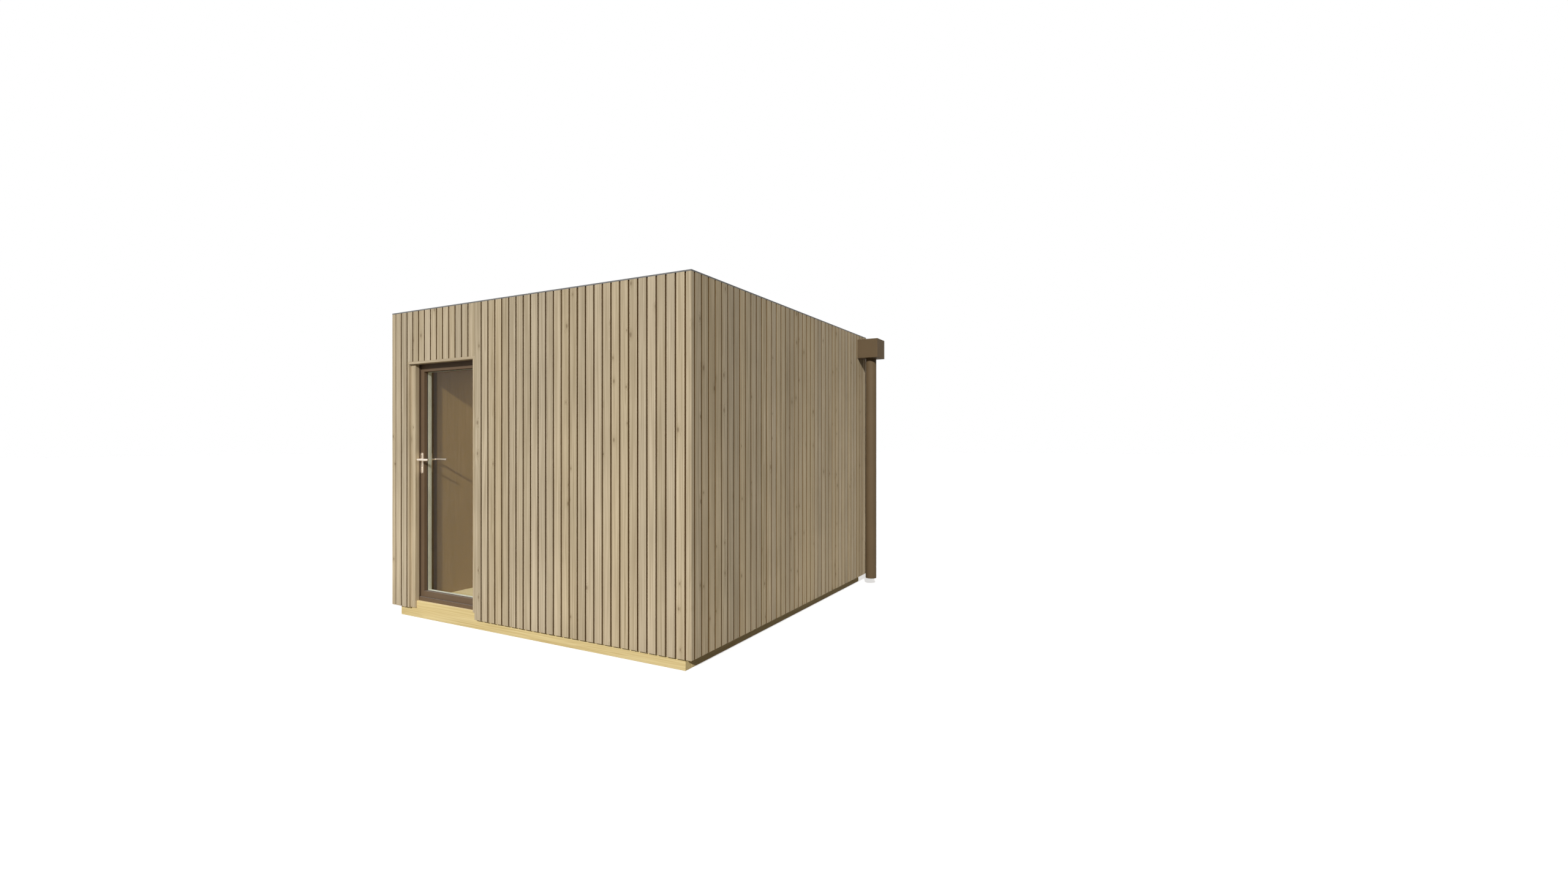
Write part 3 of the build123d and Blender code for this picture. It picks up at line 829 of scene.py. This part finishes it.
def close_gaps(place, spans, length):
    """A strip of felt behind each gap of a row, a millimetre short of the boards' ends."""
    strips = []
    gap_start, foot = 0.0, bottom
    for x0, x1, z0, z1 in spans + [(length, length, bottom, top)]:
        if x0 - gap_start > MM:
            felt = block("felt", (gap_start, FACE_DEPTH, min(z0, foot) + MM),
                         (x0, BOARD_DEPTH, top - MM))
            felt.data.transform(place)
            strips.append(felt)
        gap_start, foot = x1, z0
    return strips


def lay_boards(name, place, spans, length, nodes):
    """Copy boards of the right size to each span of a wall, and close the gaps with felt."""
    strips = close_gaps(place, spans, length)
    row = []
    for x0, x1, z0, z1 in spans:
        size = (round(x1 - x0, 5), round(z1 - z0, 5))
        if size not in masters:
            masters[size] = model_board(*size)
        board = copy_to(masters[size], Matrix.Identity(4), "board")
        lay_grain(board, "Z")
        paint_shade_on_sides(board)
        board.data.transform(place @ Matrix.Translation((x0, 0, z0)))
        row.append(board)
    settle(join(row, name), cladding_wood, nodes=nodes)
    settle(soften(join(strips, name + "_felt"), 0.3 * MM), gap_shade_felt)


# %% [markdown]
# The front row is broken by the door. Boards over it start at the head lining, and the two boards
# that meet at its right side are widened to end there, because the row doesn't divide evenly.

# %% Boards of the four walls
corner_low, corner_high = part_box("corner_posts")
POST_SIDE = 30 * MM
POST_FRONT = post_x - corner_low.x
side_length = corner_high.y - corner_low.y - 2 * POST_SIDE
front_length = -2 * post_x

door_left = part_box("lining_left")[0].x - post_x
door_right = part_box("lining_right")[1].x - post_x
door_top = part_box("lining_top")[1].z
front_row = []
for x0, x1, z0, z1 in even_row(front_length):
    over_door = door_left < (x0 + x1) / 2 < door_right
    x0, x1 = (door_right if abs(x - door_right) < GAP else x for x in (x0, x1))
    front_row.append((x0, x1, door_top if over_door else z0, z1))

FRONT_NODES = ("cladding_front_left", "cladding_front_right", "cladding_front_over_door")
rear_row, side_row = even_row(front_length), even_row(side_length)
for side, start, along, spans, length in (
        ("front", (post_x, corner_low.y, 0), (1, 0, 0), front_row, front_length),
        ("rear", (-post_x, corner_high.y, 0), (-1, 0, 0), rear_row, front_length),
        ("right", (corner_high.x, corner_low.y + POST_SIDE, 0), (0, 1, 0), side_row, side_length),
        ("left", (corner_low.x, corner_high.y - POST_SIDE, 0), (0, -1, 0), side_row, side_length)):
    nodes = FRONT_NODES if side == "front" else ("cladding_" + side,)
    lay_boards(side + "_boards", wall_place(start, along), spans, length, nodes)
print("board sizes", sorted(masters))
for master in masters.values():
    bin_piece(master)

# %% [markdown]
# The posts close the rows at the corners, and the gap beside each post is closed by a strip behind
# it. Battens hold the boards off the wall, and a dark strip closes the air gap at the foot, where
# it would let in insects.

# %% Corner posts
posts = [timber("post", (x, y, bottom), (x + POST_FRONT, y + POST_SIDE, top), "Z", ARRIS)
         for x in (corner_low.x, corner_high.x - POST_FRONT)
         for y in (corner_low.y, corner_high.y - POST_SIDE)]
settle(join(posts, "corner_posts_planed"), cladding_wood,
       nodes=("corner_posts",))

# %% Battens
BATTEN_HEIGHT = 45 * MM
BATTEN_PITCH = 620 * MM
FOOT_STRIP_RISE = 4 * MM
TOP_BATTEN_DROP = 50 * MM
front_back = corner_low.y + BOARD_DEPTH
side_back = corner_high.x - BOARD_DEPTH
base_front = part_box("base_rim_front")[0].y
levels = ([bottom + FOOT_STRIP_RISE] + [bottom + BATTEN_PITCH * i for i in (1, 2, 3)]
          + [top - TOP_BATTEN_DROP])
strips = []
for low_z in levels:
    high_z = low_z + BATTEN_HEIGHT
    for sign in (-1, 1):
        strips.append(block("batten", (sign * side_back, base_front, low_z),
                            (sign * BASE_EDGE, -base_front, high_z)))
    strips.append(block("batten", (post_x, -base_front, low_z), (-post_x, -front_back, high_z)))
    spans = [(post_x, -post_x)]
    if low_z < door_top:
        spans = [(post_x, post_x + door_left), (post_x + door_right, -post_x)]
    for x0, x1 in spans:
        strips.append(block("batten", (x0, front_back, low_z), (x1, base_front, high_z)))
settle(join(strips, "cladding_battens"), cavity_mesh)

# %% [markdown]
# ## Door surround
#
# Planed boards line the opening and stand flush with the cladding's face, and a narrow fillet
# fills the space between the left lining and the door frame. They are cut from the same wood as
# the cladding, so they share its finish, each from its own place in the log. The head and the
# fillet are each notched round the wall, so they are made of two blocks.

# %% Linings and fillet
for side in ("left", "right"):
    settle(timber("lining_board_" + side, *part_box("lining_" + side), "Z"), cladding_wood,
           nodes=("lining_" + side,))

opening_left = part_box("lining_left")[1].x
low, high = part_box("lining_top")
head = timber("lining_head", (opening_left, low.y, low.z), high, "X")
ear = timber("lining_ear", low, (opening_left, base_front, high.z), "X")
settle(join([head, ear], "lining_board_top"), cladding_wood,
       nodes=("lining_top",))

low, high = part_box("fillet_left")
floor_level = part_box("floor_deck")[1].z
post = timber("fillet", (low.x, low.y, floor_level), high, "Z")
foot = timber("fillet_foot", low, (high.x, base_front, floor_level), "Z", 0.3 * MM)
settle(join([post, foot], "fillet_board_left"), cladding_wood,
       nodes=("fillet_left",))

# %% [markdown]
# ## Door frame and leaf
#
# The frame's and the leaf's solids already have the right sections, so they stay. Their corners
# are welded and rounded by live modifiers, which change the look and not the solid, and they get
# the brown coating. The beads that hold the glass and the spacer between the panes are pale, and
# show as one light line beside the glass.

# %% Frame and leaf
dress(door_coating, "frame_jamb_hinge", "frame_jamb_lock", "frame_head", "frame_threshold",
      edge=1.0 * MM)
dress(door_coating, "leaf_stile_lock", "leaf_stile_hinge", "leaf_rail_top", "leaf_rail_bottom",
      edge=1.2 * MM)
dress(bead_coating, "glazing_beads", edge=1.0 * MM)
dress(glass, "glass_panes")
dress(spacer_plastic, "glass_spacer")

# %% [markdown]
# ## Seals
#
# Glass never touches the leaf: it sits between rubber gaskets, and a rubber seal on the frame's
# lip closes the gap all round the leaf. A seal is a closed ring. It starts as a block, its front
# and back faces are inset by the ring's width, and the two inner faces are bridged, which cuts
# the hole through.

# %% Gaskets of the glass
GASKET_WIDTH = 2.5 * MM
GASKET_DEPTH = 3 * MM
GASKET_SEAT = 0.05 * MM


def ring(name, low, high, width, roundness):
    """A rectangular ring that stands in the plane of the door."""
    piece = block(name, low, high)
    with editing(piece, "FACE", lambda middle, facing: abs(facing.y) > 0.9):
        bpy.ops.mesh.inset(thickness=width, depth=0)
        bpy.ops.mesh.bridge_edge_loops()
    return soften(piece, roundness)


pane_low, pane_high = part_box("glass_panes")
sight_low = Vector((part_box("leaf_stile_lock")[1].x, 0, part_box("leaf_rail_bottom")[1].z))
sight_high = Vector((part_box("leaf_stile_hinge")[0].x, 0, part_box("leaf_rail_top")[0].z))
print("clear glass", round(sight_high.x - sight_low.x, 3), round(sight_high.z - sight_low.z, 3))
for name, y0, y1, finish in (
        ("gasket_outside", pane_low.y - GASKET_DEPTH, pane_low.y - GASKET_SEAT, rubber_and_hole_shade),
        ("gasket_inside", pane_high.y + GASKET_SEAT, pane_high.y + GASKET_DEPTH,
         spacer_plastic)):
    settle(ring(name, (sight_low.x, y0, sight_low.z), (sight_high.x, y1, sight_high.z),
                GASKET_WIDTH, 0.8 * MM), finish, "door_leaf")

# %% Seal of the frame
SEAL_WIDTH = 6 * MM
SEAL_DEPTH = 4.8 * MM
SEAL_SEAT = 0.1 * MM
SEAL_INSET = 2 * MM
SEAL_RISE = 1 * MM
leaf_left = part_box("leaf_stile_lock")[0]
leaf_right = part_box("leaf_stile_hinge")[1]
seal_back = leaf_left.y - SEAL_SEAT
seal = ring("frame_seal",
            (leaf_left.x + SEAL_INSET, seal_back - SEAL_DEPTH, leaf_left.z + SEAL_RISE),
            (leaf_right.x - SEAL_INSET, seal_back, leaf_right.z - SEAL_INSET), SEAL_WIDTH, 1.2 * MM)
settle(seal, rubber_and_hole_shade)

# %% [markdown]
# ## Handle
#
# The lever is a round steel bar that leaves the plate square, bends and runs towards the hinges. It
# starts as a short cylinder, its free end is spun a quarter turn about the bend's centre, then
# extruded to the tip, and the tip's rim is rounded. A collar covers its neck at the plate. A curve
# with a round bevel would do too, but the spin shows how a bent bar grows out of a straight one.

# %% Outer lever
LEVER_RADIUS = 9 * MM
BEND_RADIUS = 16 * MM
LEVER_SEAT = 0.3 * MM
LEVER_SIDES = 40
BEND_STEPS = 12
COLLAR_RADIUS = 11.5 * MM
COLLAR_DEPTH = 3 * MM
lever_low, lever_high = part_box("lever_set")
plate_low, plate_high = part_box("handle_plates")
lever_x = (plate_low.x + plate_high.x) / 2
lever_z = (lever_low.z + lever_high.z) / 2
leaf_middle = (plate_low.y + plate_high.y) / 2
neck_end = lever_low.y + LEVER_RADIUS + BEND_RADIUS
seat = plate_low.y - LEVER_SEAT

lever = rod("lever", (lever_x, (seat + neck_end) / 2, lever_z), "Y", LEVER_RADIUS,
            seat - neck_end, LEVER_SIDES)
with editing(lever, "FACE", lambda middle, facing: facing.y < -0.9):
    bpy.ops.mesh.spin(steps=BEND_STEPS, angle=-math.pi / 2, axis=(0, 0, 1),
                      center=(lever_x + BEND_RADIUS, neck_end, lever_z))
    bpy.ops.mesh.extrude_region_move(TRANSFORM_OT_translate={
        "value": (lever_high.x - lever_x - BEND_RADIUS, 0, 0)})
    bpy.ops.mesh.select_all(action="SELECT")
    bpy.ops.mesh.remove_doubles(threshold=0.01 * MM)
    bpy.ops.mesh.normals_make_consistent(inside=False)
soften(lever, 2 * MM, 3)
collar = soften(rod("collar", (lever_x, seat - COLLAR_DEPTH / 2, lever_z), "Y", COLLAR_RADIUS,
                    COLLAR_DEPTH, LEVER_SIDES), 0.6 * MM)
outer = join([lever, collar], "lever_outer")
print("lever length", round(lever_high.x - lever_x, 4))

# %% [markdown]
# The inner lever is the outer one's mirror image, and a spindle through the leaf joins them. A
# mirrored mesh is inside out, so its faces are flipped back.

# %% Inner lever and spindle
SPINDLE_RADIUS = 4.5 * MM
mirror = Matrix.Translation((0, 2 * leaf_middle, 0)) @ Matrix.Scale(-1, 4, (0, 1, 0))
inner = copy_to(outer, mirror, "lever_inner")
with editing(inner, "FACE", lambda middle, facing: True):
    bpy.ops.mesh.flip_normals()
spindle = rod("spindle", (lever_x, leaf_middle, lever_z), "Y", SPINDLE_RADIUS,
              2 * (leaf_middle - seat), 24)
settle(smooth(join([outer, inner, spindle], "lever_pair")), lever_steel,
       "door_lever", ("lever_set",))

# %% [markdown]
# The long plates have round ends. A block's four corner edges, beveled by almost half the plate's
# width in twelve steps, become two half circles, and a small bevel all round breaks the rim.

# %% Long plates
PLATE_THICKNESS = 8 * MM
PLATE_END_RADIUS = 15.9 * MM


def long_plate(y0):
    """A plate with round ends whose face nearer the outside is at y0."""
    plate = block("plate", (plate_low.x, y0, plate_low.z),
                  (plate_high.x, y0 + PLATE_THICKNESS, plate_high.z))
    with editing(plate, "EDGE", lambda middle, along: abs(along.y) > 0.9):
        bpy.ops.mesh.bevel(offset=PLATE_END_RADIUS, segments=12, affect="EDGES")
    return soften(plate, 1.2 * MM, 3)


plates = [long_plate(plate_low.y), long_plate(plate_high.y - PLATE_THICKNESS)]
settle(smooth(join(plates, "handle_long_plates")), plate_steel, "door_leaf",
       ("handle_plates",))
dress(plate_steel, "lock_cylinder", "hinge_frame_halves", "hinge_leaf_halves", edge=0.5 * MM)

# %% [markdown]
# ## Screws
#
# One pan-head screw is modelled and copied wherever a part is held: a low cylinder whose rim is
# rounded and whose face is inset and pushed in for the driver. Each copy is turned so that its
# head faces out of the part that it holds.

# %% Model and drive screws
SCREW_SIDES = 20
RECESS_RIM = 0.42
RECESS_DEPTH = 0.6
HEAD_ROUNDING = 0.25


def model_screw(radius, height):
    """A screw head that stands on the XY plane, with a driver's recess."""
    screw = rod("screw", (0, 0, height / 2), "Z", radius, height, SCREW_SIDES)
    with editing(screw, "FACE", lambda middle, facing: facing.z > 0.9):
        bpy.ops.mesh.inset(thickness=RECESS_RIM * radius, depth=0)
        bpy.ops.mesh.extrude_region_move(TRANSFORM_OT_translate={
            "value": (0, 0, -RECESS_DEPTH * height)})
    return soften(screw, HEAD_ROUNDING * height)


def drive_screws(name, radius, height, places, body, finish=plate_steel):
    """Copy a screw to each (point, facing) and join the copies."""
    master = model_screw(radius, height)
    heads = []
    for point, facing in places:
        turn = Vector(facing).to_track_quat("Z", "Y").to_matrix().to_4x4()
        heads.append(copy_to(master, Matrix.Translation(point) @ turn, "screw"))
    bin_piece(master)
    settle(smooth(join(heads, name)), finish, body)


# %% [markdown]
# Each handle plate has a screw near both ends, and each hinge half has three, the middle one
# nearer the pin. The three hinges are evenly spaced up the door, and share one axis.

# %% Screws of the plates and hinges
PLATE_SCREW_INSET = 15 * MM
plate_screws = [((lever_x, y, z), (0, facing, 0))
                for y, facing in ((plate_low.y, -1), (plate_high.y, 1))
                for z in (plate_low.z + PLATE_SCREW_INSET, plate_high.z - PLATE_SCREW_INSET)]
drive_screws("plate_screws", 4 * MM, 1.6 * MM, plate_screws, "door_leaf")

HINGES = 3
HINGE_HEIGHT = 100 * MM
HINGE_PLATE = 3 * MM
HINGE_SCREWS = ((16 * MM, 24 * MM), (50 * MM, 17 * MM), (84 * MM, 24 * MM))
hinge_low, hinge_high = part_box("hinge_leaf_halves")
hinge_x = (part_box("hinge_frame_halves")[0].x + hinge_high.x) / 2
hinge_y = hinge_low.y + HINGE_PLATE
pitch = (hinge_high.z - hinge_low.z - HINGE_HEIGHT) / (HINGES - 1)
for name, side, body in (("hinge_screws_frame", 1, "building"),
                         ("hinge_screws_leaf", -1, "door_leaf")):
    places = [((hinge_x + side * aside, hinge_y, hinge_low.z + pitch * i + rise), (0, 1, 0))
              for i in range(HINGES) for rise, aside in HINGE_SCREWS]
    drive_screws(name, 3.6 * MM, 1.2 * MM, places, body)

# %% [markdown]
# ## Lock
#
# With the door open, the leaf's edge shows a steel faceplate with its latch, and the jamb shows the
# plate that the latch strikes. Both are thin blocks with rounded edges, set in their timber. The
# latch is beveled on the side that meets the strike plate as the door shuts.

# %% Lock faceplate, latch and strike plate
FACEPLATE = Vector((2, 20, 236)) * MM
LATCH = Vector((7, 12, 32)) * MM
LATCH_SLOPE = 5.5 * MM
STRIKE_PLATE = Vector((2, 24, 225)) * MM
FACEPLATE_RISE = 30 * MM
STRIKE_RISE = 12.5 * MM
cylinder_low, cylinder_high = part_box("lock_cylinder")
lock_z = cylinder_low.z + FACEPLATE_RISE
face = soften(block_about("face", (leaf_left.x, leaf_middle, lock_z), FACEPLATE), 0.8 * MM)
latch = block_about("latch", (leaf_left.x - LATCH.x / 2, leaf_middle, lever_z), LATCH)
with editing(latch, "EDGE", lambda middle, along: abs(along.z) > 0.9
             and middle.x < leaf_left.x - LATCH.x / 2 and middle.y > leaf_middle):
    bpy.ops.mesh.bevel(offset=LATCH_SLOPE, segments=4, affect="EDGES")
soften(latch, 0.5 * MM)
settle(join([face, latch], "lock_faceplate"), plate_steel, "door_leaf")

jamb_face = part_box("frame_threshold")[0].x
strike = block_about("strike_plate", (jamb_face, leaf_middle, lock_z + STRIKE_RISE), STRIKE_PLATE)
settle(soften(strike, 0.7 * MM), plate_steel)

# %% [markdown]
# The key goes into a round rotor at each end of the cylinder. Its slot is so narrow that a dark
# block stands for the hole, and its black is painted shade.

# %% Rotors and key slots
BARREL_RADIUS = 8.5 * MM
ROTOR_RADIUS = 6.5 * MM
ROTOR_DEPTH = 0.6 * MM
KEY_SLOT = Vector((1.6, 1.5, 8)) * MM
KEY_SLOT_DROP = 0.5 * MM
barrel_z = cylinder_high.z - BARREL_RADIUS
rotors, hole_shades = [], []
for y, out in ((cylinder_low.y, -1), (cylinder_high.y, 1)):
    rotor = rod("rotor", (lever_x, y + out * ROTOR_DEPTH / 2, barrel_z), "Y", ROTOR_RADIUS,
                ROTOR_DEPTH, 28)
    rotors.append(soften(rotor, 0.2 * MM))
    slot = block_about("slot", (lever_x, y, barrel_z - KEY_SLOT_DROP), KEY_SLOT)
    hole_shades.append(soften(slot, 0.2 * MM))
settle(smooth(join(rotors, "lock_rotors")), lever_steel, "door_leaf")
# The key slots' black blocks are painted shade, the dark inside the holes.
settle(join(hole_shades, "key_slots_painted_shade"), rubber_and_hole_shade, "door_leaf")

# %% [markdown]
# ## Room lining
#
# The wall panels and the roof deck are the real thickness of the walls, so they stay as they are.
# They show only inside the room, where their faces are brown board.

# %% Wall panels
dress(lining_board, "front_wall_left", "front_wall_right", "front_wall_over_door", "rear_wall",
      "left_wall", "right_wall", "parapet_front", "parapet_rear", "parapet_left",
      "parapet_right", "roof_deck")

# %% [markdown]
# ## Roof
#
# The roof is a shallow tray with a fall of 30 mm to the right, lined with rubber sheet. The sheet
# comes in strips, and each seam is a lap 60 mm wide. A lap starts as a thin block and is tilted to
# the roof's fall by a matrix, so it lies on the sheet all along.

# %% Roofing and its laps
dress(roof_rubber, "roof_membrane")

ROOF_FALL = 30 * MM
MEMBRANE = 3 * MM
FIRST_LAP = -720 * MM
LAP_PITCH = 740 * MM
LAP_WIDTH = 60 * MM
LAP_THICKNESS = 2.2 * MM
deck_low, deck_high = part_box("roof_deck")
slope = -ROOF_FALL / (deck_high.x - deck_low.x)
tilt = Matrix.Identity(4)
tilt[2][0] = slope
tilt[2][3] = deck_high.z + MEMBRANE - slope * deck_low.x
laps = []
for y in (FIRST_LAP + LAP_PITCH * i for i in range(3)):
    lap = soften(block("lap", (deck_low.x + MEMBRANE, y, 0),
                       (deck_high.x - MEMBRANE, y + LAP_WIDTH, LAP_THICKNESS)), 0.8 * MM)
    lap.data.transform(tilt)
    laps.append(lap)
settle(join(laps, "roofing_laps"), roof_rubber)

# %% [markdown]
# Grey folded trims cap the walls, and a strap is screwed over each of their joints, on the leg
# that faces the roof.

# %% Roof trims and straps
SIDES = {"front": (0, 1, 0), "rear": (0, -1, 0), "left": (1, 0, 0), "right": (-1, 0, 0)}
dress(edge_coating, *("roof_trim_" + side for side in SIDES), edge=0.8 * MM)

STRAP_WIDTH = 80 * MM
STRAP_HEIGHT = 26 * MM
STRAP_THICKNESS = 1 * MM
STRAP_DROP = 18 * MM
STRAP_PLACES = (-0.55, 0.55)
STRAP_SCREWS = (-25 * MM, 25 * MM)
straps, strap_screws = [], []
for side, inward in SIDES.items():
    low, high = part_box("roof_trim_" + side)
    leg = high if sum(inward) > 0 else low
    inward = Vector(inward)
    along = Vector((-inward.y, inward.x, 0))
    reach = along * STRAP_WIDTH / 2 + Vector((0, 0, STRAP_HEIGHT / 2))
    for offset in STRAP_PLACES:
        back = along * offset + Vector((leg.x * abs(inward.x), leg.y * abs(inward.y),
                                        high.z - STRAP_DROP))
        face = back + inward * STRAP_THICKNESS
        straps.append(block("strap", back - reach, face + reach))
        strap_screws += [(face + along * step, inward) for step in STRAP_SCREWS]
settle(soften(join(straps, "trim_straps"), 0.3 * MM), edge_coating)
drive_screws("trim_screws", 4 * MM, 2 * MM, strap_screws, "building")

# %% [markdown]
# ## Rainwater
#
# Water leaves the tray through a sleeve into an open square hopper, and a round pipe takes it
# down. The hopper and the sleeve keep their solids with softened folds. The pipe is made again as
# a smooth tube: a cylinder of 72 sides whose end faces are inset by the wall's thickness and
# bridged, so its bore is open from end to end. Coated rivets hold the hopper's folded flanges.

# %% Hopper and downpipe
dress(rain_coating, "hopper", "roof_outlet", edge=1.0 * MM)

PIPE_RADIUS = 55 * MM
PIPE_WALL = 3 * MM
PIPE_SIDES = 72
hopper_low, hopper_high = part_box("hopper")
pipe_low, pipe_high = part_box("downpipe")
pipe_middle = ((hopper_low.x + hopper_high.x) / 2, (hopper_low.y + hopper_high.y) / 2,
               (pipe_low.z + pipe_high.z) / 2)
pipe = rod("pipe", pipe_middle, "Z", PIPE_RADIUS, pipe_high.z - pipe_low.z, PIPE_SIDES)
with editing(pipe, "FACE", lambda middle, facing: abs(facing.z) > 0.9):
    bpy.ops.mesh.inset(thickness=PIPE_WALL, depth=0)
    bpy.ops.mesh.bridge_edge_loops()
soften(pipe, 0.8 * MM)
settle(smooth(join([pipe], "downpipe_tube")), rain_coating,
       nodes=("downpipe",))

# %% Rivets
RIVET_INSET = 14 * MM
FIRST_RIVET = 20 * MM
RIVET_PITCH = 75 * MM
rivets = [((hopper_low.x + RIVET_INSET, y, hopper_high.z - FIRST_RIVET - RIVET_PITCH * i),
           (0, facing, 0))
          for y, facing in ((hopper_low.y, -1), (hopper_high.y, 1)) for i in range(3)]
drive_screws("hopper_rivets", 3 * MM, 1.4 * MM, rivets, "building",
             rain_coating)
